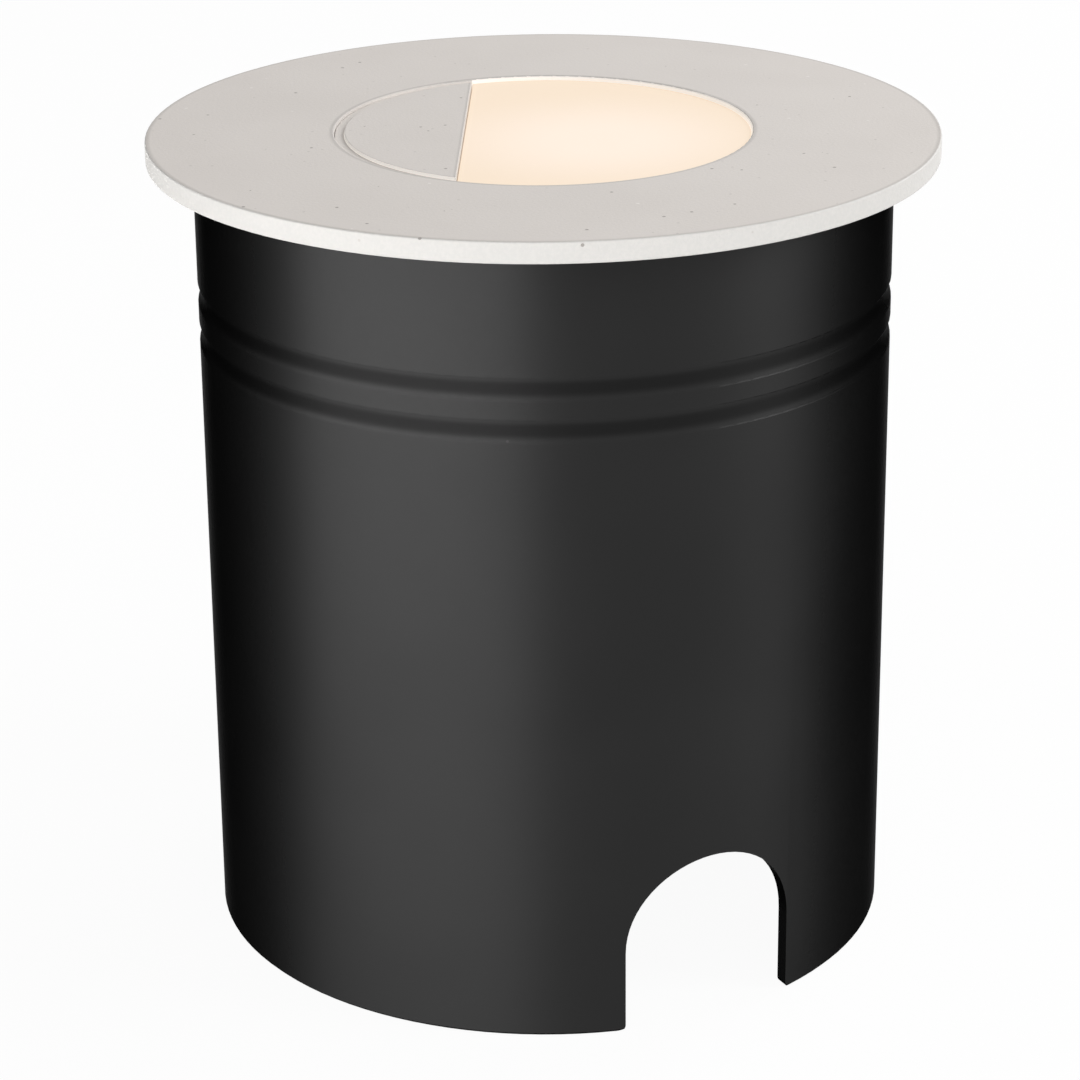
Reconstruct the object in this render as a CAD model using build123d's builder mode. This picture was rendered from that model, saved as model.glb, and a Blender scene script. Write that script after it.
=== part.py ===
from build123d import *
import os
from math import cos, pi, radians, sin, sqrt

# A round recessed light for walls, steps and paths. A black mounting sleeve is set in a drilled hole,
# and the light unit pushes into it: a sand white face plate with a half shade, an opal lens, an LED
# engine, a finned lamp body that holds the driver, and a cable gland at the back.
# Millimetres. The origin is the middle of the sleeve's foot, and +Z points out through the face plate.
# The sleeve's conduit notch faces -Y. The light unit can be turned in the sleeve to aim its light.

# Mounting sleeve
sleeve_diameter = 84.0
sleeve_length = 97.8
sleeve_wall = 1.8
sleeve_edge_chamfer = 0.4
groove_width = 2.6
groove_depth = 0.45
groove_shoulder = 0.5
first_groove_drop = 16.5
groove_pitch = 4.95
notch_width = 22.2
notch_height = 21.5
notch_corner = 0.9
notch_arcs = 6

# Face plate, and the collar behind it
plate_overlap = 5.5
plate_thickness = 2.2
plate_land_depth = 0.3
plate_land_clearance = 0.5
plate_edge_round = 0.2
window_edge_round = 0.2
collar_wall = 3.2
collar_clearance = 0.2
collar_end_clearance = 0.3

# Half shade and lens in the window
aim_angle = -29.0
lens_seat = 6.75
shade_edge_offset = 9.45
shade_fit = 0.1
shade_gap = 1.2
shade_gap_depth = 0.4
shade_edge_round = 0.15
shade_flange_thickness = 1.5
lens_gap = 0.1
lens_recess = 0.5
lens_edge_round = 0.12
lens_flange_thickness = 2.5
lens_seal_thickness = 1.0
lens_seal_margin = 1.2
flange_clearance = 0.3

# Rubber grip band between lamp body and sleeve
grip_clearance = 0.25
band_stand = 0.85
band_thickness = 1.6
band_rib_height = 0.95
band_rib_width = 1.4
band_rib_count = 4
band_overhang = 3.5
band_clearance = 0.25

# Lamp body
mouth_wall = 3.2
ledge_width = 2.0
shelf_thickness = 4.0
bay_wall = 2.5
foot_ring_height = 6.5
fin_count = 30
fin_slot_width = 4.4
fin_top_margin = 4.0
body_seal_thickness = 1.0

# LED engine
reflector_depth = 10.5
reflector_wall = 1.2
reflector_clearance = 0.8
reflector_foot_margin = 4.0
reflector_flange_thickness = 2.0
led_board_thickness = 1.6
led_board_margin = 4.0
thermal_pad_thickness = 0.5
led_length = 3.5
led_width = 2.8
led_height = 0.8
led_spacing = 9.5
led_margin = 4.8

# Driver
driver_board_thickness = 1.6
driver_board_clearance = 0.8
standoff_height = 4.0
standoff_radius = 3.2
standoff_inset = 3.5
transformer_length = 16.0
transformer_width = 14.0
transformer_height = 12.0
capacitor_diameter = 10.0
capacitor_height = 13.0
inductor_diameter = 7.0
inductor_height = 8.0
terminal_length = 12.0
terminal_width = 9.0
terminal_height = 10.0
terminal_port_diameter = 3.6
terminal_port_depth = 6.0
component_margin = 1.0
component_spacing = 8.0
component_round = 0.6

# Leads from driver to LED board
lead_diameter = 1.4
lead_clearance = 0.3
lead_inset = 1.2
lead_half_angle = 5.0
lead_rise = 1.0

# Rear cover and cable gland
rear_cover_thickness = 3.5
rear_cover_inset = 0.6
rear_cover_round = 0.8
rear_seal_thickness = 1.0
spigot_depth = 3.0
spigot_wall = 2.5
spigot_clearance = 0.25
gland_thread_diameter = 16.0
gland_thread_end = 1.0
gland_hex = 20.0
gland_hex_height = 5.0
gland_stub_diameter = 14.4
gland_stub_length = 7.0
gland_wall = 1.7
gland_step = 0.6
lock_nut_hex = 20.0
lock_nut_thickness = 4.0
bush_stand = 2.8
cable_bore = 7.0
bush_clearance = 0.1
bush_end_gap = 0.8
cap_hex = 19.0
cap_gap = 0.3
cap_end_wall = 3.2
cap_dome_height = 5.0
cap_hole_margin = 1.1
thread_clearance = 0.1

# Screws
plate_screw_radius = 1.25
plate_screw_head_radius = 2.0
plate_screw_head_height = 1.3
plate_screw_count = 3
board_screw_radius = 1.25
board_screw_head_radius = 2.3
board_screw_head_height = 1.6
board_screw_bite = 3.0
board_screw_count = 3
rear_screw_radius = 1.5
rear_screw_head_radius = 2.75
rear_screw_head_height = 2.0
rear_screw_bite = 5.0
rear_screw_count = 4
screw_clearance = 0.2
screw_tip_gap = 0.5
socket_share = 0.5

# Radii, from the sleeve inwards
sleeve_radius = sleeve_diameter / 2
sleeve_bore_radius = sleeve_radius - sleeve_wall
bead_crown_radius = sleeve_bore_radius - groove_depth
plate_radius = sleeve_radius + plate_overlap
plate_land_radius = sleeve_radius + plate_land_clearance
band_radius = bead_crown_radius - grip_clearance
band_root_radius = band_radius - band_rib_height
band_bore_radius = band_root_radius - band_thickness
band_seat_radius = band_bore_radius - band_clearance
body_radius = band_radius - band_stand
mouth_radius = body_radius - mouth_wall
collar_radius = mouth_radius - collar_clearance
collar_bore_radius = collar_radius - collar_wall
flange_radius = collar_bore_radius - flange_clearance
window_radius = flange_radius - lens_seat
chamber_radius = collar_bore_radius - ledge_width
led_board_radius = chamber_radius - led_board_margin
led_screw_circle = led_board_radius - board_screw_head_radius - screw_clearance
reflector_mouth_radius = chamber_radius - reflector_clearance - reflector_wall
reflector_foot_radius = led_screw_circle - board_screw_head_radius - reflector_wall - reflector_foot_margin
led_circle = reflector_foot_radius - led_length / 2 - led_margin
led_count = int(2 * pi * led_circle / led_spacing)
driver_board_radius = chamber_radius - driver_board_clearance
standoff_circle = driver_board_radius - standoff_inset
lead_circle = driver_board_radius - lead_inset
lead_pad_circle = led_board_radius - lead_inset
fin_root_radius = chamber_radius + bay_wall
rear_cover_radius = body_radius - rear_cover_inset
rear_screw_circle = (chamber_radius + body_radius) / 2
spigot_radius = chamber_radius - spigot_clearance
gland_thread_radius = gland_thread_diameter / 2
gland_stub_radius = gland_stub_diameter / 2
gland_socket_radius = gland_stub_radius - gland_wall
gland_bore_radius = gland_socket_radius - gland_step
cable_bore_radius = cable_bore / 2

# Heights, from the sleeve's rim downwards
rim_z = sleeve_length
face_z = rim_z + plate_thickness
groove_heights = (rim_z - first_groove_drop - groove_pitch, rim_z - first_groove_drop)
plate_land_z = rim_z - plate_land_depth
body_top_z = rim_z - body_seal_thickness
lens_seal_top_z = rim_z - shade_flange_thickness
lens_flange_top_z = lens_seal_top_z - lens_seal_thickness
reflector_top_z = lens_flange_top_z - lens_flange_thickness
ledge_z = reflector_top_z - reflector_flange_thickness
collar_z = ledge_z + collar_end_clearance
plate_screw_z = (collar_z + body_top_z) / 2
led_board_top_z = ledge_z - reflector_depth
thermal_pad_top_z = led_board_top_z - led_board_thickness
shelf_top_z = thermal_pad_top_z - thermal_pad_thickness
shelf_bottom_z = shelf_top_z - shelf_thickness
driver_board_top_z = shelf_bottom_z - standoff_height
driver_board_bottom_z = driver_board_top_z - driver_board_thickness
tallest_component = max(transformer_height, capacitor_height, inductor_height, terminal_height)
gland_thread_top_z = driver_board_bottom_z - tallest_component - component_margin
lock_nut_top_z = gland_thread_top_z - gland_thread_end
rear_cover_top_z = lock_nut_top_z - lock_nut_thickness
body_foot_z = rear_cover_top_z + rear_seal_thickness
rear_cover_bottom_z = rear_cover_top_z - rear_cover_thickness
gland_hex_bottom_z = rear_cover_bottom_z - gland_hex_height
gland_stub_bottom_z = gland_hex_bottom_z - gland_stub_length
bush_top_z = gland_hex_bottom_z - bush_end_gap
bush_bottom_z = gland_stub_bottom_z - bush_stand
cap_top_z = gland_hex_bottom_z - cap_gap
cap_bottom_z = bush_bottom_z - cap_end_wall
band_middle_z = sum(groove_heights) / len(groove_heights)
band_width = groove_pitch + 2 * band_overhang
fin_low_z = body_foot_z + foot_ring_height
fin_high_z = band_middle_z - band_width / 2 - fin_top_margin

# Directions about the axis, turned with the light unit
aimed = Plane.XY.rotated((0, 0, aim_angle))
lead_angles = (aim_angle + 90 - lead_half_angle, aim_angle + 90 + lead_half_angle)


def spread(count, shift=0.0):
    """Angles of an even ring of screws, turned with the light unit and by a share of one step."""
    return [aim_angle + 360 * (step + shift) / count for step in range(count)]


def ring(inner, outer, low, high, mode=Mode.ADD):
    """Section of a ring in an XZ sketch, to be revolved about Z."""
    with Locations(((inner + outer) / 2, (low + high) / 2)):
        Rectangle(outer - inner, high - low, mode=mode)


def wall_line(radius, dip_width):
    """Line of the sleeve's wall from foot to rim, with an arc inwards at each rolled groove."""
    start = (radius, 0)
    for height in groove_heights:
        dip_start = (radius, height - dip_width / 2)
        dip_end = (radius, height + dip_width / 2)
        Line(start, dip_start)
        ThreePointArc(dip_start, (radius - groove_depth, height), dip_end)
        start = dip_end
    Line(start, (radius, rim_z))


def window_piece(radius, left, right):
    """Sketch of the part of a disc between two chords, measured along the aimed X axis."""
    Circle(radius)
    with Locations(((left + right) / 2, 0)):
        Rectangle(right - left, 2 * radius, mode=Mode.INTERSECT)


def polar_point(circle_radius, angle):
    """X and Y of a point on a circle about the axis."""
    return circle_radius * cos(radians(angle)), circle_radius * sin(radians(angle))


def axial_planes(circle_radius, angles, height, facing):
    """Planes on a circle about the axis at a height, facing up (1) or down (-1)."""
    centres = [(*polar_point(circle_radius, angle), height) for angle in angles]
    return [Plane(origin=centre, z_dir=(0, 0, facing)) for centre in centres]


def radial_planes(distance, angles, height):
    """Planes at a distance from the axis, facing outwards at each angle."""
    outwards = [(*polar_point(1, angle), 0) for angle in angles]
    return [Plane(origin=(0, 0, height), z_dir=way).offset(distance) for way in outwards]


def drill(planes, radius, depth):
    """Cut a plain round hole behind each plane."""
    for plane in planes:
        with BuildSketch(plane) as outline:
            Circle(radius)
        extrude(outline.sketch, amount=-depth, mode=Mode.SUBTRACT)


def socket_screws(seats, shank_radius, shank_length, head_radius, head_height):
    """Hexagon socket screws, each with its head in front of a seat plane and its shank behind it."""
    for seat in seats:
        with BuildSketch(seat) as head:
            Circle(head_radius)
        extrude(head.sketch, amount=head_height)
        with BuildSketch(seat) as shank:
            Circle(shank_radius)
        extrude(shank.sketch, amount=-shank_length)
        with BuildSketch(seat.offset(head_height)) as socket:
            RegularPolygon(head_radius * socket_share, 6)
        extrude(socket.sketch, amount=-head_height * socket_share, mode=Mode.SUBTRACT)


# Seat planes of the screws
plate_screw_angles = spread(plate_screw_count)
led_screw_seats = axial_planes(led_screw_circle, spread(board_screw_count, 0.5), led_board_top_z, 1)
standoff_seats = axial_planes(standoff_circle, spread(board_screw_count), driver_board_bottom_z, -1)
rear_screw_seats = axial_planes(rear_screw_circle, spread(rear_screw_count, 0.5), rear_cover_bottom_z, -1)
head_seat_radius = body_radius - plate_screw_head_height - screw_clearance

# Mounting sleeve: an open tube with two rolled grooves, which stand inside as beads, and a conduit notch.
groove_roll = (groove_width**2 / 4 + groove_depth**2) / (2 * groove_depth)
bead_roll = groove_roll + sleeve_wall
bead_width = 2 * sqrt(bead_roll**2 - (bead_roll - groove_depth) ** 2)
notch_radius = notch_width / 2
notch_straight = notch_height - notch_radius
notch_arc = 180 / notch_arcs

with BuildPart() as mounting_sleeve:
    with BuildSketch(Plane.XZ) as sleeve_section:
        with BuildLine():
            wall_line(sleeve_radius, groove_width)
            wall_line(sleeve_bore_radius, bead_width)
            Line((sleeve_bore_radius, 0), (sleeve_radius, 0))
            Line((sleeve_bore_radius, rim_z), (sleeve_radius, rim_z))
        make_face()
        outer_corners = sleeve_section.vertices().group_by(Axis.X)[-1].sort_by(Axis.Y)
        fillet(outer_corners[1:-1], radius=groove_shoulder)
        end_corners = sleeve_section.vertices().group_by(Axis.X)[-1].sort_by(Axis.Y)
        chamfer((end_corners[0], end_corners[-1]), length=sleeve_edge_chamfer)
    revolve(axis=Axis.Z)
    with BuildSketch(Plane.XZ) as notch_outline:
        with BuildLine():
            Polyline(
                (notch_radius, notch_straight),
                (notch_radius, 0),
                (-notch_radius, 0),
                (-notch_radius, notch_straight),
            )
            for step in range(notch_arcs):
                CenterArc((0, notch_straight), notch_radius, step * notch_arc, notch_arc)
        make_face()
        with Locations((0, -notch_corner)):
            Rectangle(notch_width + 4 * notch_corner, 2 * notch_corner)
        foot_corners = notch_outline.vertices().group_by(Axis.Y)[1].sort_by(Axis.X)
        fillet(foot_corners[1:-1], radius=notch_corner)
    extrude(amount=sleeve_radius, mode=Mode.SUBTRACT)
mounting_sleeve.part.label = "mounting_sleeve"

# Grip band: a ribbed rubber band in a seat round the lamp body, held by the sleeve's two beads.
band_low_z = band_middle_z - band_width / 2
band_rib_pitch = (band_width - band_rib_width) / (band_rib_count - 1)

with BuildPart() as grip_band:
    with BuildSketch(Plane.XZ):
        ring(band_bore_radius, band_root_radius, band_low_z, band_low_z + band_width)
        for step in range(band_rib_count):
            rib_z = band_low_z + band_rib_width / 2 + step * band_rib_pitch
            with BuildLine():
                Polyline(
                    (band_root_radius, rib_z - band_rib_width / 2),
                    (band_radius, rib_z - band_rib_width / 4),
                    (band_radius, rib_z + band_rib_width / 4),
                    (band_root_radius, rib_z + band_rib_width / 2),
                    close=True,
                )
            make_face()
    revolve(axis=Axis.Z)
grip_band.part.label = "grip_band"

# Face plate: a flat disc with a round window, a raised land behind its edge that lies on the wall round
# the sleeve, and a collar that enters the lamp body's mouth.
with BuildPart() as face_plate:
    with BuildSketch(Plane.XZ):
        ring(window_radius, plate_radius, rim_z, face_z)
        ring(plate_land_radius, plate_radius, plate_land_z, rim_z)
        ring(collar_bore_radius, collar_radius, collar_z, rim_z)
    revolve(axis=Axis.Z)
    drill(
        radial_planes(collar_radius, plate_screw_angles, plate_screw_z),
        plate_screw_radius + thread_clearance,
        collar_wall + flange_clearance,
    )
    rim_edges = face_plate.edges().filter_by(GeomType.CIRCLE).sort_by(SortBy.RADIUS)[-2:]
    fillet(rim_edges, radius=plate_edge_round)
    window_edge = face_plate.faces().sort_by(Axis.Z)[-1].edges().sort_by(SortBy.RADIUS)[0]
    fillet(window_edge, radius=window_edge_round)
face_plate.part.label = "face_plate"

# Half shade: a flange behind the plate, with a raised segment that fills its side of the window and is
# stepped at the top, so that a shallow groove runs between it and the plate.
with BuildPart() as half_shade:
    with BuildSketch(aimed.offset(lens_seal_top_z)):
        Circle(flange_radius)
    extrude(amount=shade_flange_thickness)
    with BuildSketch(aimed.offset(lens_seal_top_z)):
        window_piece(window_radius, -shade_edge_offset, window_radius)
    extrude(amount=shade_flange_thickness, mode=Mode.SUBTRACT)
    with BuildSketch(aimed.offset(rim_z)):
        window_piece(window_radius - shade_fit, -window_radius, -shade_edge_offset)
    extrude(amount=plate_thickness - shade_gap_depth)
    with BuildSketch(aimed.offset(face_z - shade_gap_depth)):
        window_piece(window_radius - shade_gap, -window_radius, -shade_edge_offset)
    extrude(amount=shade_gap_depth)
    fillet(half_shade.faces().sort_by(Axis.Z)[-1].edges(), radius=shade_edge_round)
half_shade.part.label = "half_shade"

# Lens: an opal disc with a raised pad that fills the lit part of the window.
with BuildPart() as lens:
    with BuildSketch(aimed.offset(reflector_top_z)):
        Circle(flange_radius)
    extrude(amount=lens_flange_thickness)
    with BuildSketch(aimed.offset(lens_flange_top_z)):
        window_piece(window_radius - lens_gap, lens_gap - shade_edge_offset, window_radius)
    extrude(amount=face_z - lens_recess - lens_flange_top_z)
    fillet(lens.faces().sort_by(Axis.Z)[-1].edges(), radius=lens_edge_round)
lens.part.label = "lens"

with BuildPart() as lens_seal:
    with BuildSketch(Plane.XZ):
        ring(window_radius + lens_seal_margin, flange_radius, lens_flange_top_z, lens_seal_top_z)
    revolve(axis=Axis.Z)
lens_seal.part.label = "lens_seal"

with BuildPart() as body_seal:
    with BuildSketch(Plane.XZ):
        ring(mouth_radius, body_radius, body_top_z, rim_z)
    revolve(axis=Axis.Z)
body_seal.part.label = "body_seal"

# Reflector cup: a white cone from the LED board up to the lens, hung by its flange on the body's ledge.
with BuildPart() as reflector_cup:
    with BuildSketch(Plane.XZ):
        with BuildLine():
            Polyline(
                (reflector_foot_radius, led_board_top_z),
                (reflector_foot_radius + reflector_wall, led_board_top_z),
                (reflector_mouth_radius + reflector_wall, ledge_z),
                (flange_radius, ledge_z),
                (flange_radius, reflector_top_z),
                (reflector_mouth_radius, reflector_top_z),
                close=True,
            )
        make_face()
    revolve(axis=Axis.Z)
reflector_cup.part.label = "reflector_cup"

# LED engine: chips on a round metal-core board, on a thermal pad on the body's shelf.
with BuildPart() as led_board:
    with BuildSketch(Plane.XY.offset(thermal_pad_top_z)):
        Circle(led_board_radius)
    extrude(amount=led_board_thickness)
    drill(led_screw_seats, board_screw_radius + screw_clearance, led_board_thickness)
led_board.part.label = "led_board"

with BuildPart() as led_chips:
    with BuildSketch(Plane.XY.offset(led_board_top_z)):
        with PolarLocations(led_circle, led_count, start_angle=aim_angle):
            Rectangle(led_length, led_width)
    extrude(amount=led_height)
led_chips.part.label = "led_chips"

with BuildPart() as thermal_pad:
    with BuildSketch(Plane.XY.offset(shelf_top_z)):
        Circle(led_board_radius)
    extrude(amount=thermal_pad_thickness)
    drill(led_screw_seats, board_screw_radius + screw_clearance, led_board_top_z - shelf_top_z)
thermal_pad.part.label = "thermal_pad"

led_screw_length = led_board_top_z - shelf_top_z + board_screw_bite

with BuildPart() as led_board_screws:
    socket_screws(
        led_screw_seats,
        board_screw_radius,
        led_screw_length,
        board_screw_head_radius,
        board_screw_head_height,
    )
led_board_screws.part.label = "led_board_screws"

# Lamp body: a cast can with a shelf across it, a seat for the grip band and a row of cooling fins.
band_seat_low_z = band_low_z - band_clearance
band_seat_high_z = band_low_z + band_width + band_clearance
rear_screw_length = rear_cover_thickness + rear_seal_thickness + rear_screw_bite
driver_screw_length = driver_board_thickness + board_screw_bite
lead_radius = lead_diameter / 2

with BuildPart() as lamp_body:
    with BuildSketch(Plane.XZ):
        ring(0, body_radius, body_foot_z, body_top_z)
        ring(0, mouth_radius, ledge_z, body_top_z, mode=Mode.SUBTRACT)
        ring(0, chamber_radius, shelf_top_z, ledge_z, mode=Mode.SUBTRACT)
        ring(0, chamber_radius, body_foot_z, shelf_bottom_z, mode=Mode.SUBTRACT)
        ring(band_seat_radius, body_radius, band_seat_low_z, band_seat_high_z, mode=Mode.SUBTRACT)
    revolve(axis=Axis.Z)
    fin_slot_length = body_radius - fin_root_radius + fin_slot_width
    with BuildSketch(Plane.XY.offset(fin_low_z)):
        with PolarLocations(fin_root_radius + fin_slot_length / 2, fin_count, start_angle=aim_angle):
            SlotOverall(fin_slot_length, fin_slot_width)
    extrude(amount=fin_high_z - fin_low_z, mode=Mode.SUBTRACT)
    for seat in standoff_seats:
        with BuildSketch(seat.offset(-driver_board_thickness)):
            Circle(standoff_radius)
        extrude(amount=-standoff_height)
    drill(standoff_seats, board_screw_radius + thread_clearance, driver_screw_length + screw_tip_gap)
    drill(led_screw_seats, board_screw_radius + thread_clearance, led_screw_length + screw_tip_gap)
    drill(rear_screw_seats, rear_screw_radius + thread_clearance, rear_screw_length + screw_tip_gap)
    lead_holes = axial_planes(lead_circle, lead_angles, shelf_top_z, 1)
    drill(lead_holes, lead_radius + lead_clearance, shelf_thickness)
    drill(
        radial_planes(body_radius, plate_screw_angles, plate_screw_z),
        plate_screw_radius + screw_clearance,
        mouth_wall + collar_clearance,
    )
    drill(
        radial_planes(body_radius, plate_screw_angles, plate_screw_z),
        plate_screw_head_radius + screw_clearance,
        body_radius - head_seat_radius,
    )
lamp_body.part.label = "lamp_body"

with BuildPart() as plate_screws:
    socket_screws(
        radial_planes(head_seat_radius, plate_screw_angles, plate_screw_z),
        plate_screw_radius,
        head_seat_radius - collar_bore_radius - screw_tip_gap,
        plate_screw_head_radius,
        plate_screw_head_height,
    )
plate_screws.part.label = "plate_screws"

# Driver: a round board hung under the shelf, with its parts facing the rear cover.
driver_face = Plane(origin=(0, 0, driver_board_bottom_z), x_dir=aimed.x_dir, z_dir=(0, 0, -1))
terminal_corner_radius = driver_board_radius - component_margin
terminal_reach = sqrt(terminal_corner_radius**2 - terminal_length**2 / 4) - terminal_width / 2

with BuildPart() as driver_board:
    with BuildSketch(Plane.XY.offset(driver_board_bottom_z)):
        Circle(driver_board_radius)
    extrude(amount=driver_board_thickness)
    drill(standoff_seats, board_screw_radius + screw_clearance, driver_board_thickness)
driver_board.part.label = "driver_board"

with BuildPart() as driver_board_screws:
    socket_screws(
        standoff_seats,
        board_screw_radius,
        driver_screw_length,
        board_screw_head_radius,
        board_screw_head_height,
    )
driver_board_screws.part.label = "driver_board_screws"

with BuildPart() as driver_transformer:
    with BuildSketch(driver_face):
        with Locations((-component_spacing, -component_spacing / 2)):
            RectangleRounded(transformer_length, transformer_width, component_round)
    extrude(amount=transformer_height)
driver_transformer.part.label = "driver_transformer"

with BuildPart() as driver_capacitor:
    with BuildSketch(driver_face):
        with Locations((component_spacing, -component_spacing)):
            Circle(capacitor_diameter / 2)
    extrude(amount=capacitor_height)
    fillet(driver_capacitor.faces().sort_by(Axis.Z)[0].edges(), radius=component_round)
driver_capacitor.part.label = "driver_capacitor"

with BuildPart() as driver_inductor:
    with BuildSketch(driver_face):
        with Locations((component_spacing, component_spacing * 3 / 4)):
            Circle(inductor_diameter / 2)
    extrude(amount=inductor_height)
    fillet(driver_inductor.faces().sort_by(Axis.Z)[0].edges(), radius=component_round)
driver_inductor.part.label = "driver_inductor"

with BuildPart() as supply_terminal:
    with BuildSketch(driver_face):
        with Locations((0, terminal_reach)):
            Rectangle(terminal_length, terminal_width)
    extrude(amount=terminal_height)
    with BuildSketch(driver_face.offset(terminal_height)):
        with Locations((0, terminal_reach)):
            with GridLocations(terminal_length / 2, 0, 2, 1):
                Circle(terminal_port_diameter / 2)
    extrude(amount=-terminal_port_depth, mode=Mode.SUBTRACT)
supply_terminal.part.label = "supply_terminal"


def lead_path(angle):
    """Route of a lead: up from the driver board through the shelf, over and down to the LED board."""
    outer_x, outer_y = polar_point(lead_circle, angle)
    inner_x, inner_y = polar_point(lead_pad_circle, angle)
    arch_z = led_board_top_z + lead_rise
    arch_radius = (lead_circle - lead_pad_circle) / 2
    top_x, top_y = polar_point((lead_circle + lead_pad_circle) / 2, angle)
    arch_start = (outer_x, outer_y, arch_z)
    arch_end = (inner_x, inner_y, arch_z)
    Line((outer_x, outer_y, driver_board_top_z), arch_start)
    ThreePointArc(arch_start, (top_x, top_y, arch_z + arch_radius), arch_end)
    Line(arch_end, (inner_x, inner_y, led_board_top_z))


with BuildPart() as lead_positive:
    with BuildLine():
        lead_path(lead_angles[0])
    with BuildSketch(Plane(origin=(*polar_point(lead_circle, lead_angles[0]), driver_board_top_z))):
        Circle(lead_radius)
    sweep()
lead_positive.part.label = "lead_positive"

with BuildPart() as lead_negative:
    with BuildLine():
        lead_path(lead_angles[1])
    with BuildSketch(Plane(origin=(*polar_point(lead_circle, lead_angles[1]), driver_board_top_z))):
        Circle(lead_radius)
    sweep()
lead_negative.part.label = "lead_negative"

# Rear cover: a disc with a spigot that closes the driver bay on a flat seal.
with BuildPart() as rear_seal:
    with BuildSketch(Plane.XZ):
        ring(chamber_radius, rear_cover_radius, rear_cover_top_z, body_foot_z)
    revolve(axis=Axis.Z)
    drill(rear_screw_seats, rear_screw_radius + screw_clearance, rear_screw_length)
rear_seal.part.label = "rear_seal"

with BuildPart() as rear_cover:
    with BuildSketch(Plane.XZ):
        gland_hole_radius = gland_thread_radius + thread_clearance
        ring(gland_hole_radius, rear_cover_radius, rear_cover_bottom_z, rear_cover_top_z)
        ring(spigot_radius - spigot_wall, spigot_radius, rear_cover_top_z, body_foot_z + spigot_depth)
    revolve(axis=Axis.Z)
    cover_edge = rear_cover.faces().sort_by(Axis.Z)[0].edges().sort_by(SortBy.RADIUS)[-1]
    fillet(cover_edge, radius=rear_cover_round)
    drill(rear_screw_seats, rear_screw_radius + screw_clearance, rear_cover_thickness)
rear_cover.part.label = "rear_cover"

with BuildPart() as rear_cover_screws:
    socket_screws(
        rear_screw_seats,
        rear_screw_radius,
        rear_screw_length,
        rear_screw_head_radius,
        rear_screw_head_height,
    )
rear_cover_screws.part.label = "rear_cover_screws"

# Cable gland: body through the rear cover, lock nut inside, rubber bush and a domed cap outside.
with BuildPart() as gland_body:
    with BuildSketch(Plane.XZ):
        ring(gland_bore_radius, gland_thread_radius, gland_hex_bottom_z, gland_thread_top_z)
        ring(gland_socket_radius, gland_stub_radius, gland_stub_bottom_z, gland_hex_bottom_z)
    revolve(axis=Axis.Z)
    with BuildSketch(aimed.offset(gland_hex_bottom_z)):
        RegularPolygon(gland_hex / 2, 6, major_radius=False)
        Circle(gland_bore_radius, mode=Mode.SUBTRACT)
    extrude(amount=gland_hex_height)
gland_body.part.label = "gland_body"

with BuildPart() as gland_lock_nut:
    with BuildSketch(aimed.offset(rear_cover_top_z)):
        RegularPolygon(lock_nut_hex / 2, 6, major_radius=False)
        Circle(gland_thread_radius + thread_clearance, mode=Mode.SUBTRACT)
    extrude(amount=lock_nut_thickness)
gland_lock_nut.part.label = "gland_lock_nut"

with BuildPart() as gland_bush:
    with BuildSketch(Plane.XZ):
        ring(cable_bore_radius, gland_socket_radius - bush_clearance, bush_bottom_z, bush_top_z)
    revolve(axis=Axis.Z)
gland_bush.part.label = "gland_bush"

cap_hole_radius = cable_bore_radius + cap_hole_margin

with BuildPart() as gland_cap:
    with BuildSketch(aimed.offset(cap_bottom_z)):
        RegularPolygon(cap_hex / 2, 6, major_radius=False)
    extrude(amount=cap_top_z - cap_bottom_z)
    with BuildSketch(Plane.XZ):
        with BuildLine():
            dome_top = (cap_hex / 2, cap_bottom_z + cap_dome_height)
            dome_end = (cap_hole_radius + cap_hole_margin, cap_bottom_z)
            shoulder = (cap_hex, cap_bottom_z + cap_dome_height)
            Polyline(dome_top, shoulder, (cap_hex, cap_top_z), (0, cap_top_z), (0, cap_bottom_z), dome_end)
            TangentArc((dome_top, dome_end), tangent=(0, -1))
        make_face()
    revolve(axis=Axis.Z, mode=Mode.INTERSECT)
    with BuildSketch(Plane.XZ):
        ring(0, gland_stub_radius + thread_clearance, bush_bottom_z, cap_top_z)
        ring(0, cap_hole_radius, cap_bottom_z, bush_bottom_z)
    revolve(axis=Axis.Z, mode=Mode.SUBTRACT)
gland_cap.part.label = "gland_cap"

pieces = (
    mounting_sleeve, grip_band, face_plate, half_shade, lens, lens_seal, body_seal, reflector_cup,
    led_board, led_chips, thermal_pad, led_board_screws, lamp_body, plate_screws,
    driver_board, driver_board_screws, driver_transformer, driver_capacitor, driver_inductor,
    supply_terminal, lead_positive, lead_negative, rear_seal, rear_cover, rear_cover_screws,
    gland_body, gland_lock_nut, gland_bush, gland_cap,
)
os.makedirs("parts", exist_ok=True)
for piece in pieces:
    export_step(piece.part, f"parts/{piece.part.label}.step")
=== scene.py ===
from math import cos, radians, sin

import bpy
from mathutils import Euler, Matrix, Vector


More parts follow.
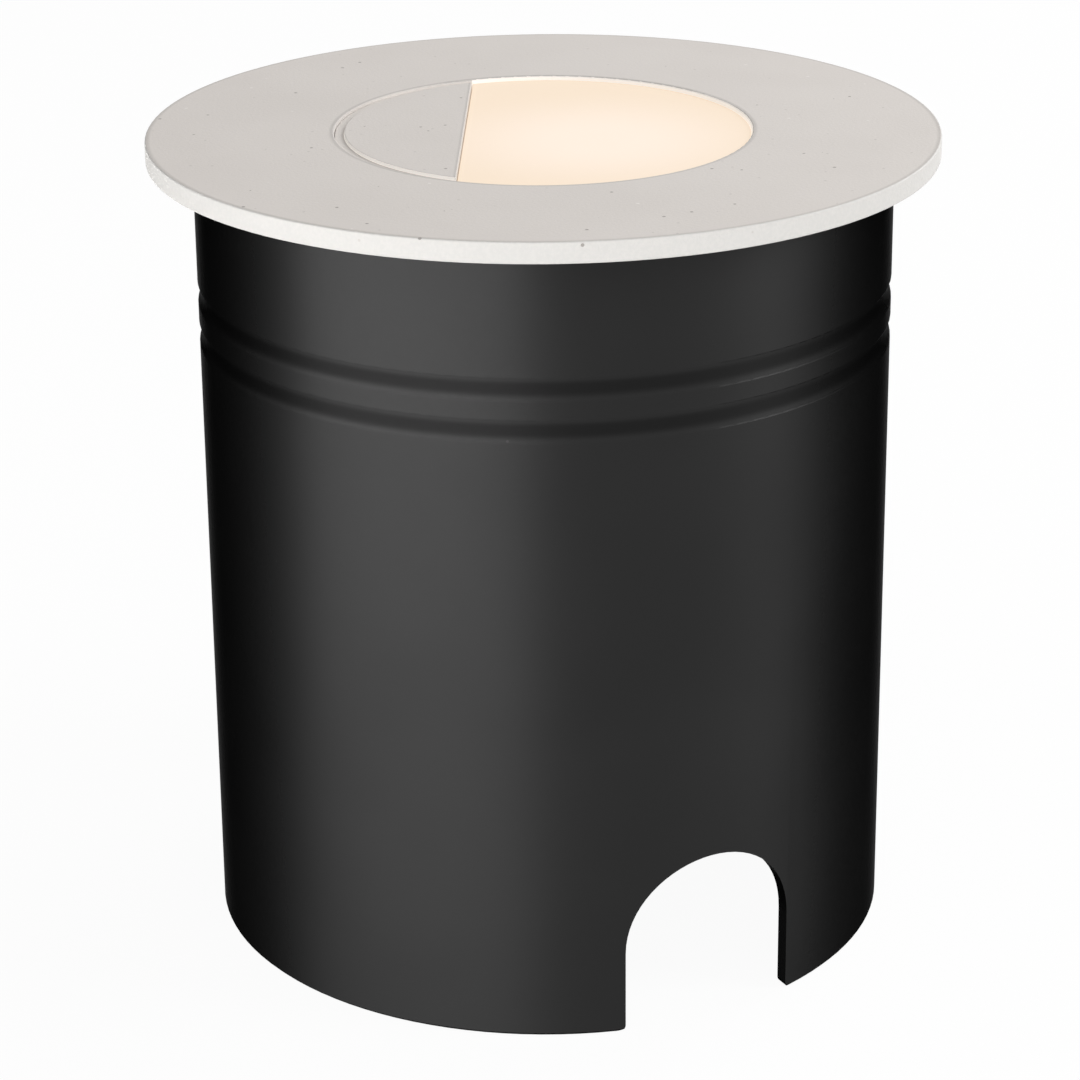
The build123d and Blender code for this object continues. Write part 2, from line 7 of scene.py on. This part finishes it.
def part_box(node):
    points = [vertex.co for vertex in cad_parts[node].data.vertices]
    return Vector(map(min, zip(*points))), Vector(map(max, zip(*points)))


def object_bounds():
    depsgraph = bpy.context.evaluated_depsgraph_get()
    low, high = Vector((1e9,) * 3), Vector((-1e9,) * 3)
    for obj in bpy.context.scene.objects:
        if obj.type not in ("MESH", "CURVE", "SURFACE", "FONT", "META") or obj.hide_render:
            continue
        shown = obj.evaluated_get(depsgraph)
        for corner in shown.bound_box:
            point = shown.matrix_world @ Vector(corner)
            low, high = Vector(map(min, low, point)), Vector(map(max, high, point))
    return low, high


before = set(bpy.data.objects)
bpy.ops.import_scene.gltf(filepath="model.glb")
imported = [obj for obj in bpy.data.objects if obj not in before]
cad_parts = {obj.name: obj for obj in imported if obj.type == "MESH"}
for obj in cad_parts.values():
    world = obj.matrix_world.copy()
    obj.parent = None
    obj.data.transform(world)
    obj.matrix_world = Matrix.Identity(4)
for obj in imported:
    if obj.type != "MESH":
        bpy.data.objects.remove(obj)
cad_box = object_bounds()

# A recessed light: sand white plate with a half shade and a lit opal lens, black mounting sleeve,
# and behind the plate the finned lamp body, its grip band, rear cover and cable gland.
# Metres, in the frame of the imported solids.
MM = 0.001

# Camera, as it stood for the photograph: to the left of the notch and a little above the plate
CAMERA_AZIMUTH = -27.5
CAMERA_DISTANCE = 420.0 * MM
CAMERA_RISE = 112.3 * MM
CAMERA_PITCH = 21.49
CAMERA_ASIDE = 0.83 * MM
CAMERA_ROLL = -0.53
CAMERA_LENS = 120.3
SENSOR_WIDTH = 36.0

# The sleeve's grooves: the first below the rim, the second below the first, half their width, and the
# share over which their shoulders round off. The coat pools in them and takes up some of their depth.
# They lie in the outer skin of the sleeve's wall.
GROOVE_DROP = 16.5 * MM
GROOVE_PITCH = 4.95 * MM
GROOVE_REACH = 1.29 * MM
GROOVE_SHOULDER = 0.32
GROOVE_POOL = 0.39 * MM
SLEEVE_SKIN = 0.9 * MM

# The plate's window, the way its lit side faces, how far along that way the shade's straight edge lies,
# and the shade's step, which leaves a gap between shade and plate
WINDOW_RADIUS = 25.0 * MM
WINDOW_AIM = radians(-29.0)
SHADE_EDGE = -9.45 * MM
SHADE_GAP = 1.2 * MM
STEP_RADIUS = WINDOW_RADIUS - SHADE_GAP

# Light from the lens: its brightest place, how far from there it starts and ends to fade, and the
# stretch of the gap round the shade over which the glow painted on the coat comes up, along the way of
# the lit side
GLOW_MIDDLE = (3.8 * MM, -6.7 * MM)
GLOW_FADE = (4.0 * MM, 24.0 * MM)
GAP_FADE = (-24.0 * MM, -18.5 * MM)

# Studio
FLOOR_RADIUS = 6.0
FLOOR_WHITE = (0.86, 0.86, 0.86, 1.0)
FLOOR_GLOW = 0.95
ROOM_LIGHT = 0.25
SOFTBOXES = {
    # name: azimuth from the camera, elevation, distance, width, height, watts
    "low_strip_left": (-42.5, -4.2, 0.4, 0.606, 0.036, 1.74),
    "box_right": (78.0, 26.0, 1.1, 0.45, 0.9, 8.0),
    "box_behind_right": (140.0, 38.0, 1.1, 0.60, 0.6, 5.0),
    "box_above_front": (15.0, 50.0, 1.2, 1.20, 0.9, 4.6),
}


class Wire:
    """One socket of a material. Sums on it add Math nodes, and node() adds any other node beside it."""

    def __init__(self, tree, socket=None):
        self.tree = tree
        self.socket = socket

    def node(self, kind, settings=None, values=None, output=0):
        """Add a node: its settings first, then the value or link of each socket, by name or number."""
        made = self.tree.nodes.new(kind)
        for name, setting in (settings or {}).items():
            setattr(made, name, setting)
        for name, value in (values or {}).items():
            if isinstance(value, Wire):
                self.tree.links.new(value.socket, made.inputs[name])
            else:
                made.inputs[name].default_value = value
        return Wire(self.tree, made.outputs[output] if made.outputs else None)

    def out(self, name):
        """Another output of the same node."""
        return Wire(self.tree, self.socket.node.outputs[name])

    def maths(self, operation, first, second):
        """Add a Math node on two values."""
        return self.node("ShaderNodeMath", {"operation": operation}, {0: first, 1: second})

    def __add__(self, other):
        return self.maths("ADD", self, other)

    def __sub__(self, other):
        return self.maths("SUBTRACT", self, other)

    def __rsub__(self, other):
        return self.maths("SUBTRACT", other, self)

    def __mul__(self, other):
        return self.maths("MULTIPLY", self, other)

    def __lt__(self, other):
        return self.maths("LESS_THAN", self, other)

    def __gt__(self, other):
        return self.maths("GREATER_THAN", self, other)

    __radd__ = __add__
    __rmul__ = __mul__


# Patterns that the finishes share

def new_finish(name):
    """An empty material, and the Object coordinates of the piece that wears it."""
    material = bpy.data.materials.new(name)
    material.use_nodes = True
    material.node_tree.nodes.clear()
    return material, Wire(material.node_tree).node("ShaderNodeTexCoord", output="Object")


def close_finish(material, sockets):
    """Close a finish with a Principled shader that has these values and links."""
    wire = Wire(material.node_tree)
    shader = wire.node("ShaderNodeBsdfPrincipled", values=sockets)
    wire.node("ShaderNodeOutputMaterial", values={"Surface": shader})
    return material


def noise(place, size, detail=2.0, roughness=0.5):
    """Soft random grain of about this size, from 0 to 1."""
    values = {"Vector": place, "Scale": 1 / size, "Detail": detail, "Roughness": roughness}
    return place.node("ShaderNodeTexNoise", values=values)


def stretched(place, scale):
    """Coordinates scaled along each axis, to draw a pattern out."""
    return place.node("ShaderNodeMapping", {"vector_type": "POINT"}, {"Vector": place, "Scale": scale})


def turned_lines(place, across, along, detail=2.0):
    """Random lines round an upright axis or along it, by their number to a metre each way."""
    return noise(stretched(place, (across, across, along)), size=1.0, detail=detail)


def smooth(value, low, high):
    """0 below low, 1 above high, with a soft step between them."""
    values = {"Value": value, "From Min": low, "From Max": high}
    return value.node("ShaderNodeMapRange", {"interpolation_type": "SMOOTHSTEP"}, values)


def within(value, low, high):
    """1 between low and high, 0 outside."""
    return (value > low) * (value < high)


def mix(share, first, second):
    """Colour between first and second."""
    values = {0: share, 6: first, 7: second}
    return share.node("ShaderNodeMix", {"data_type": "RGBA"}, values, output=2)


def axis_of(place, name):
    """X, Y or Z of the coordinates."""
    return place.node("ShaderNodeSeparateXYZ", values={"Vector": place}, output=name)


def specks(place, spacing, radius, share):
    """1 inside round specks: one in each cell of a loose grid, kept in a share of the cells."""
    cell = place.node("ShaderNodeTexVoronoi", values={"Vector": place, "Scale": 1 / spacing})
    pick = cell.node("ShaderNodeSeparateColor", values={"Color": cell.out("Color")})
    return (cell < radius / spacing) * (pick < share)


def from_axis(place):
    """Distance from the lamp's axis."""
    flat = place.node("ShaderNodeVectorMath", {"operation": "MULTIPLY"}, {0: place, 1: (1, 1, 0)})
    return place.node("ShaderNodeVectorMath", {"operation": "LENGTH"}, {0: flat}, "Value")


def lit_side(place):
    """How far a place lies from the lamp's axis, towards the window's lit side."""
    values = {0: place, 1: (cos(WINDOW_AIM), sin(WINDOW_AIM), 0)}
    return place.node("ShaderNodeVectorMath", {"operation": "DOT_PRODUCT"}, values, "Value")


def groove(height, middle):
    """The hollow of a rolled groove: 1 along its middle, rounding off to 0 past its shoulders."""
    across = (height - middle) * (1 / GROOVE_REACH)
    values = {0: 1 - across * across, 1: 0.0, 2: GROOVE_SHOULDER}
    return height.node("ShaderNodeMath", {"operation": "SMOOTH_MAX"}, values)


def bump(height, depth, strength=1.0):
    """Normal of a surface whose height runs over this depth."""
    values = {"Height": height, "Distance": depth, "Strength": strength}
    return height.node("ShaderNodeBump", values=values)


def grey(level):
    """A neutral colour."""
    return (level, level, level, 1.0)


# Finishes

def painted_lens_glow(place, radius, face_height):
    """Painted glow on the coat, standing in for light from the lens caught on the window's wall and on
    the shade's step.
    """
    side = lit_side(place)
    near_lens = smooth(side, *GAP_FADE)
    step = within(radius, STEP_RADIUS - 0.1 * MM, STEP_RADIUS + 0.05 * MM)
    wall = within(radius, WINDOW_RADIUS - 0.05 * MM, WINDOW_RADIUS + 0.12 * MM)
    step_share = 0.7 + 0.2 * near_lens
    wall_share = 0.2 * near_lens + 0.8 * (side > SHADE_EDGE)
    sunk = axis_of(place, "Z") < face_height - 0.03 * MM
    return sunk * (step * step_share + wall * wall_share)


def painted_edge_shade(place, radius, plate_radius):
    """Painted shade: the coat darker along the plate's rim, its window and the shade's straight edge."""
    past_window = smooth(radius, WINDOW_RADIUS + 0.35 * MM, WINDOW_RADIUS + 0.75 * MM)
    window = (radius > WINDOW_RADIUS) * (1 - past_window)
    straight_edge = smooth(lit_side(place), SHADE_EDGE - 0.5 * MM, SHADE_EDGE - 0.15 * MM)
    rim = smooth(radius, plate_radius - 0.75 * MM, plate_radius - 0.25 * MM)
    return window + straight_edge * (radius < STEP_RADIUS) + rim


def sand_white_coat():
    """Sand textured powder coat: warm white and matt, with a few darker and lighter grains. Painted
    shade darkens it along the edges, and its rim is painted darker against the light that falls on it. A
    glow painted on it stands in for light from the lens on the window's wall and in the gap round the
    shade."""
    material, place = new_finish("sand_white_coat")
    _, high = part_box("face_plate")
    radius = from_axis(place)
    rim_painted_darker = radius > high.x - 0.15 * MM
    painted_glow = painted_lens_glow(place, radius, high.z)
    edge_shade = painted_edge_shade(place, radius, high.x)
    grain = noise(place, size=0.42 * MM, detail=3.0)
    cloud = noise(place, size=15 * MM)
    squeezed = stretched(place, (1.0, 1.0, 0.9))
    pale_grains = specks(squeezed, spacing=3.9 * MM, radius=0.22 * MM, share=0.5)
    fine_grains = specks(place, spacing=2.1 * MM, radius=0.17 * MM, share=0.4)
    dark_grains = specks(place, spacing=3.3 * MM, radius=0.21 * MM, share=0.55)
    colour = mix(smooth(cloud, 0.25, 0.75), (0.618, 0.580, 0.548, 1), (0.640, 0.602, 0.570, 1))
    # Painted shade along the edges of the plate, its window and the shade
    colour = mix(0.5 * edge_shade, colour, (0.36, 0.34, 0.32, 1))
    # The rim painted darker: painted shade against the light that falls on its side
    colour = mix(rim_painted_darker, colour, (0.537, 0.526, 0.507, 1))
    colour = mix(0.16 * smooth(grain, 0.35, 0.7), colour, (0.70, 0.66, 0.63, 1))
    colour = mix(0.6 * pale_grains, colour, (0.80, 0.77, 0.74, 1))
    colour = mix(0.45 * fine_grains, colour, (0.40, 0.37, 0.34, 1))
    colour = mix(0.8 * dark_grains, colour, (0.22, 0.20, 0.18, 1))
    sockets = {
        "Base Color": colour,
        "Roughness": 0.58 + 0.14 * grain,
        "Normal": bump(grain + 0.5 * noise(place, size=0.2 * MM), depth=0.05 * MM, strength=0.5),
        "Specular IOR Level": 0.35,
        # Painted glow in place of light from the lens, on the window's wall and the shade's step
        "Emission Color": mix(painted_glow, grey(0.0), (0.48, 0.46, 0.43, 1)),
        "Emission Strength": 1.0,
    }
    return close_finish(material, sockets)


def satin_black_sleeve():
    """Satin black coat on the turned tube: fine lines round it, which draw the light out along it.
    The coat pools in the two rolled grooves, where it is duller, and painted shade darkens them."""
    material, place = new_finish("satin_black_sleeve")
    _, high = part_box("mounting_sleeve")
    height = axis_of(place, "Z")
    outside = from_axis(place) > high.x - SLEEVE_SKIN
    first = high.z - GROOVE_DROP
    second = first - GROOVE_PITCH
    pool = outside * (groove(height, first) + groove(height, second))
    dull_and_painted_shade = smooth(pool, 0.2, 1.0)
    lines = turned_lines(place, across=60, along=2600)
    grain = noise(place, size=0.5 * MM, detail=3.0)
    cloud = noise(place, size=22 * MM)
    dust = specks(place, spacing=6 * MM, radius=0.16 * MM, share=0.25)
    colour = mix(smooth(cloud, 0.3, 0.7), grey(0.0262), grey(0.0280))
    colour = mix(0.5 * dust, colour, grey(0.05))
    # Painted shade in the grooves
    colour = mix(dull_and_painted_shade, colour, grey(0.0160))
    sockets = {
        "Base Color": colour,
        "Metallic": 1.0,
        "Roughness": 0.39 + 0.08 * grain + 0.03 * cloud + 0.05 * dull_and_painted_shade,
        "Normal": bump(0.012 * lines + 0.01 * grain + pool, depth=GROOVE_POOL),
        "Specular Tint": grey(0.02),
        "Anisotropic": 0.63,
        "Anisotropic Rotation": 0.25,
    }
    return close_finish(material, sockets)


def lit_opal():
    """Opal plastic lit from behind: warm, brightest in the middle and deeper towards its edge."""
    material, place = new_finish("lit_opal")
    _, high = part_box("lens")
    values = {0: place, 1: (*GLOW_MIDDLE, high.z)}
    distance = place.node("ShaderNodeVectorMath", {"operation": "DISTANCE"}, values, "Value")
    frost = noise(place, size=0.6 * MM, detail=3.0)
    reach = distance + 1.2 * MM * (frost - 0.5)
    glow = mix(smooth(reach, *GLOW_FADE), (0.76, 0.625, 0.51, 1), (0.70, 0.55, 0.40, 1))
    sockets = {
        "Base Color": mix(frost, (0.205, 0.20, 0.19, 1), (0.215, 0.21, 0.20, 1)),
        "Roughness": 0.42 + 0.1 * frost,
        "Emission Color": glow,
        "Emission Strength": 1.0,
        "Normal": bump(frost, depth=0.01 * MM, strength=0.4),
        "Specular IOR Level": 0.08,
    }
    return close_finish(material, sockets)


def moulded_rubber():
    """Black rubber with a dull bloom and the fine grain of its mould."""
    material, place = new_finish("moulded_rubber")
    grain = noise(place, size=0.35 * MM, detail=3.0)
    bloom = noise(place, size=7 * MM, detail=4.0, roughness=0.6)
    colour = mix(smooth(bloom, 0.4, 0.8), grey(0.020), grey(0.045))
    sockets = {
        "Base Color": colour,
        "Roughness": 0.72 + 0.16 * bloom,
        "Normal": bump(grain, depth=0.03 * MM, strength=0.5),
        "Specular IOR Level": 0.3,
    }
    return close_finish(material, sockets)


def silicone_seal():
    """Pale grey silicone, slightly see-through, with a soft sheen."""
    material, place = new_finish("silicone_seal")
    grain = noise(place, size=0.6 * MM, detail=2.0)
    cloud = noise(place, size=6 * MM)
    sockets = {
        "Base Color": mix(cloud, (0.50, 0.51, 0.50, 1), (0.62, 0.63, 0.62, 1)),
        "Roughness": 0.45 + 0.15 * grain,
        "Normal": bump(grain, depth=0.02 * MM, strength=0.4),
        "Subsurface Weight": 0.2,
        "Subsurface Radius": (0.6 * MM, 0.6 * MM, 0.6 * MM),
    }
    return close_finish(material, sockets)


def cast_aluminium():
    """Blasted die casting, with turned rings on the machined mouth and band seat."""
    material, place = new_finish("cast_aluminium")
    _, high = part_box("lamp_body")
    band_low, band_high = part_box("grip_band")
    height = axis_of(place, "Z")
    blast = noise(place, size=0.3 * MM, detail=4.0, roughness=0.65)
    cloud = noise(place, size=11 * MM, detail=3.0)
    turned = turned_lines(place, across=40, along=5200)
    seat = within(height, band_low.z - 0.3 * MM, band_high.z + 0.3 * MM)
    machined = seat + (height > high.z - 0.4 * MM)
    relief = (1 - machined) * blast + 0.4 * machined * turned
    colour = mix(smooth(cloud, 0.3, 0.75), grey(0.36), (0.44, 0.445, 0.455, 1))
    colour = mix(0.35 * smooth(blast, 0.55, 0.75), colour, grey(0.27))
    colour = mix(machined, colour, (0.50, 0.505, 0.515, 1))
    sockets = {
        "Base Color": colour,
        "Metallic": 0.85,
        "Roughness": 0.52 + 0.14 * blast - 0.22 * machined,
        "Normal": bump(relief, depth=0.05 * MM, strength=0.6),
    }
    return close_finish(material, sockets)


def white_reflector():
    """Bright white moulded plastic with a faint orange peel."""
    material, place = new_finish("white_reflector")
    peel = noise(place, size=1.4 * MM, detail=1.0)
    cloud = noise(place, size=9 * MM)
    sockets = {
        "Base Color": mix(cloud, (0.84, 0.84, 0.82, 1), (0.90, 0.90, 0.885, 1)),
        "Roughness": 0.25 + 0.12 * peel,
        "Normal": bump(peel, depth=0.02 * MM, strength=0.4),
    }
    return close_finish(material, sockets)


def masked_board(name, mask, track):
    """A circuit board: solder mask over copper tracks, which show as a paler net of lines."""
    material, place = new_finish(name)
    spacing = 4 * MM
    values = {"Vector": place, "Scale": 1 / spacing}
    nearest = place.node("ShaderNodeTexVoronoi", {"distance": "MANHATTAN", "feature": "F1"}, values)
    next_nearest = place.node("ShaderNodeTexVoronoi", {"distance": "MANHATTAN", "feature": "F2"}, values)
    tracks = 1 - smooth(next_nearest - nearest, 0.12, 0.2)
    grain = noise(place, size=0.5 * MM)
    sockets = {
        "Base Color": mix(0.8 * tracks + 0.1 * grain, mask, track),
        "Roughness": 0.32 + 0.12 * grain,
        "Normal": bump(tracks, depth=0.035 * MM, strength=0.7),
    }
    return close_finish(material, sockets)


def led_phosphor():
    """LED chips: yellow phosphor on top, a white frame round it."""
    material, place = new_finish("led_phosphor")
    _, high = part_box("led_chips")
    grain = noise(place, size=0.12 * MM, detail=3.0)
    top = smooth(axis_of(place, "Z"), high.z - 0.12 * MM, high.z - 0.04 * MM)
    phosphor = mix(grain, (0.90, 0.66, 0.14, 1), (0.95, 0.76, 0.26, 1))
    sockets = {
        "Base Color": mix(top, (0.86, 0.86, 0.84, 1), phosphor),
        "Roughness": 0.38 + 0.2 * grain,
        "Normal": bump(grain, depth=0.02 * MM, strength=0.5),
    }
    return close_finish(material, sockets)


def soft_pad():
    """Grey thermal pad, matt and slightly pitted."""
    material, place = new_finish("soft_pad")
    grain = noise(place, size=0.3 * MM, detail=4.0)
    pits = specks(place, spacing=1.1 * MM, radius=0.16 * MM, share=0.4)
    sockets = {
        "Base Color": mix(grain, (0.37, 0.40, 0.43, 1), (0.46, 0.49, 0.52, 1)),
        "Roughness": 0.8 + 0.1 * grain,
        "Normal": bump(grain - pits, depth=0.04 * MM, strength=0.6),
    }
    return close_finish(material, sockets)


def screw_steel():
    """Stainless steel screws: bright, with fine turned lines and a few darker handling marks."""
    material, place = new_finish("screw_steel")
    lines = turned_lines(place, across=900, along=6500)
    marks = smooth(noise(place, size=1.6 * MM, detail=4.0), 0.52, 0.7)
    sockets = {
        "Base Color": mix(marks, (0.60, 0.60, 0.59, 1), (0.45, 0.445, 0.44, 1)),
        "Metallic": 1.0,
        "Roughness": 0.24 + 0.14 * lines + 0.12 * marks,
        "Normal": bump(lines, depth=0.01 * MM, strength=0.5),
    }
    return close_finish(material, sockets)


def taped_winding():
    """Yellow tape wound round the transformer, layer over layer."""
    material, place = new_finish("taped_winding")
    height = axis_of(place, "Z")
    layer = height.node("ShaderNodeMath", {"operation": "PINGPONG"}, {0: height, 1: 1.5 * MM})
    edge = 1 - smooth(layer, 0.05 * MM, 0.25 * MM)
    film = noise(place, size=2.5 * MM, detail=3.0)
    sockets = {
        "Base Color": mix(0.6 * edge + 0.2 * film, (0.74, 0.54, 0.06, 1), (0.50, 0.34, 0.03, 1)),
        "Roughness": 0.30 + 0.2 * film,
        "Normal": bump(1 - edge + 0.3 * film, depth=0.06 * MM, strength=0.6),
    }
    return close_finish(material, sockets)


def capacitor_sleeve():
    """Dark plastic sleeve shrunk on a can, with a pale stripe along one side and a bare end."""
    material, place = new_finish("capacitor_sleeve")
    low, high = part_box("driver_capacitor")
    grain = noise(place, size=0.4 * MM)
    stripe = axis_of(place, "X") > high.x - 0.9 * MM
    bare_end = axis_of(place, "Z") < low.z + 0.05 * MM
    colour = mix(grain, (0.018, 0.03, 0.062, 1), (0.028, 0.045, 0.085, 1))
    colour = mix(stripe, colour, (0.42, 0.45, 0.47, 1))
    colour = mix(bare_end, colour, (0.62, 0.62, 0.63, 1))
    sockets = {
        "Base Color": colour,
        "Metallic": 0.9 * bare_end,
        "Roughness": 0.26 + 0.1 * grain,
        "Normal": bump(grain, depth=0.015 * MM, strength=0.4),
    }
    return close_finish(material, sockets)


def shrunk_wrap():
    """Black heat shrink round the inductor, faintly wrinkled along its length."""
    material, place = new_finish("shrunk_wrap")
    wrinkle = turned_lines(place, across=1400, along=260, detail=3.0)
    sockets = {
        "Base Color": mix(wrinkle, grey(0.018), grey(0.04)),
        "Roughness": 0.36 + 0.2 * wrinkle,
        "Normal": bump(wrinkle, depth=0.08 * MM, strength=0.5),
    }
    return close_finish(material, sockets)


def moulded_plastic(name, dark, light, dullness):
    """Moulded plastic with the even spark-eroded grain of its tool and a soft cloud of tone."""
    material, place = new_finish(name)
    grain = noise(place, size=0.28 * MM, detail=3.0, roughness=0.6)
    cloud = noise(place, size=8 * MM)
    sockets = {
        "Base Color": mix(0.7 * cloud + 0.3 * grain, dark, light),
        "Roughness": dullness + 0.16 * grain,
        "Normal": bump(grain, depth=0.04 * MM, strength=0.55),
        "Specular IOR Level": 0.4,
    }
    return close_finish(material, sockets)


def lead_insulation(name, dark, light):
    """Silicone insulation of a thin lead, smooth with a slight waviness."""
    material, place = new_finish(name)
    wave = noise(place, size=1.2 * MM)
    sockets = {
        "Base Color": mix(wave, dark, light),
        "Roughness": 0.34 + 0.14 * wave,
        "Normal": bump(wave, depth=0.03 * MM, strength=0.4),
    }
    return close_finish(material, sockets)


def dress(finish, *names):
    """Give these nodes a finish."""
    for name in names:
        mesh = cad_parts[name].data
        mesh.materials.clear()
        mesh.materials.append(finish)


white_board = masked_board("white_board", mask=(0.80, 0.81, 0.80, 1), track=(0.88, 0.88, 0.86, 1))
green_board = masked_board("green_board", mask=(0.012, 0.10, 0.045, 1), track=(0.03, 0.19, 0.08, 1))
terminal_green = moulded_plastic(
    "terminal_green", (0.03, 0.22, 0.09, 1), (0.05, 0.30, 0.13, 1), dullness=0.4
)
cover_black = moulded_plastic("cover_black", grey(0.022), grey(0.036), dullness=0.5)
gland_nylon = moulded_plastic("gland_nylon", grey(0.035), grey(0.055), dullness=0.42)
red_insulation = lead_insulation("red_insulation", (0.42, 0.02, 0.014, 1), (0.56, 0.035, 0.025, 1))
black_insulation = lead_insulation("black_insulation", grey(0.012), grey(0.024))

dress(sand_white_coat(), "face_plate", "half_shade")
dress(satin_black_sleeve(), "mounting_sleeve")
dress(lit_opal(), "lens")
dress(moulded_rubber(), "grip_band", "gland_bush")
dress(silicone_seal(), "lens_seal", "body_seal", "rear_seal")
dress(cast_aluminium(), "lamp_body")
dress(white_reflector(), "reflector_cup")
dress(white_board, "led_board")
dress(led_phosphor(), "led_chips")
dress(soft_pad(), "thermal_pad")
dress(screw_steel(), "led_board_screws", "plate_screws", "driver_board_screws", "rear_cover_screws")
dress(green_board, "driver_board")
dress(taped_winding(), "driver_transformer")
dress(capacitor_sleeve(), "driver_capacitor")
dress(shrunk_wrap(), "driver_inductor")
dress(terminal_green, "supply_terminal")
dress(red_insulation, "lead_positive")
dress(black_insulation, "lead_negative")
dress(cover_black, "rear_cover")
dress(gland_nylon, "gland_body", "gland_lock_nut", "gland_cap")


# Studio

def seen_white(tree, lit, share):
    """The shader that lights the room, with white in this share where it is seen or mirrored."""
    wire = Wire(tree)
    path = wire.node("ShaderNodeLightPath", output="Is Camera Ray")
    seen = path.maths("MAXIMUM", path, path.out("Is Glossy Ray"))
    seen = path.maths("MAXIMUM", seen, path.out("Is Transmission Ray"))
    white = wire.node("ShaderNodeEmission", values={"Color": grey(1.0), "Strength": 1.0})
    return wire.node("ShaderNodeMixShader", values={0: share * seen, 1: lit, 2: white})


def studio_floor():
    """A white floor that keeps a soft shadow of the object, and can be looked through from below."""
    bpy.ops.mesh.primitive_circle_add(vertices=96, radius=FLOOR_RADIUS, fill_type="NGON")
    floor = bpy.context.active_object
    floor.name = "floor"
    material = bpy.data.materials.new("floor_white")
    material.use_nodes = True
    tree = material.node_tree
    tree.nodes.clear()
    wire = Wire(tree)
    lit = wire.node("ShaderNodeBsdfDiffuse", values={"Color": FLOOR_WHITE})
    front = seen_white(tree, lit, FLOOR_GLOW)
    below = wire.node("ShaderNodeNewGeometry", output="Backfacing")
    clear = wire.node("ShaderNodeBsdfTransparent")
    surface = wire.node("ShaderNodeMixShader", values={0: below, 1: front, 2: clear})
    wire.node("ShaderNodeOutputMaterial", values={"Surface": surface})
    floor.data.materials.append(material)


def studio_room():
    """Even light from all round, white where it is seen."""
    world = bpy.data.worlds.new("studio_room")
    world.use_nodes = True
    tree = world.node_tree
    tree.nodes.clear()
    wire = Wire(tree)
    lit = wire.node("ShaderNodeBackground", values={"Color": grey(1.0), "Strength": ROOM_LIGHT})
    room = seen_white(tree, lit, 1.0)
    wire.node("ShaderNodeOutputWorld", values={"Surface": room})
    bpy.context.scene.world = world


def studio_lights(target):
    """Soft boxes round the object, each turned towards the target and out of sight."""
    for name, (azimuth, elevation, distance, width, height, watts) in SOFTBOXES.items():
        light = bpy.data.lights.new(name, "AREA")
        light.shape = "RECTANGLE"
        light.size = width
        light.size_y = height
        light.energy = watts
        box = bpy.data.objects.new(name, light)
        box.visible_camera = False
        bpy.context.scene.collection.objects.link(box)
        turn = Euler((radians(90 - elevation), 0, radians(CAMERA_AZIMUTH + azimuth))).to_matrix()
        box.matrix_world = Matrix.Translation(target + turn @ Vector((0, 0, distance))) @ turn.to_4x4()


def photograph_camera(face_height):
    """The camera, at the photograph's angle and distance."""
    camera = bpy.data.objects.new("camera", bpy.data.cameras.new("camera"))
    camera.data.lens = CAMERA_LENS
    camera.data.sensor_width = SENSOR_WIDTH
    around = Matrix.Rotation(radians(CAMERA_AZIMUTH), 4, "Z")
    stand = Matrix.Translation((-CAMERA_ASIDE, -CAMERA_DISTANCE, face_height + CAMERA_RISE))
    tilt = Matrix.Rotation(radians(90 - CAMERA_PITCH), 4, "X")
    roll = Matrix.Rotation(radians(CAMERA_ROLL), 4, "Z")
    camera.matrix_world = around @ stand @ tilt @ roll
    bpy.context.scene.collection.objects.link(camera)
    bpy.context.scene.camera = camera


low, high = cad_box
studio_floor()
studio_room()
studio_lights((low + high) / 2)
photograph_camera(high.z)
bpy.context.scene.view_settings.view_transform = "Standard"
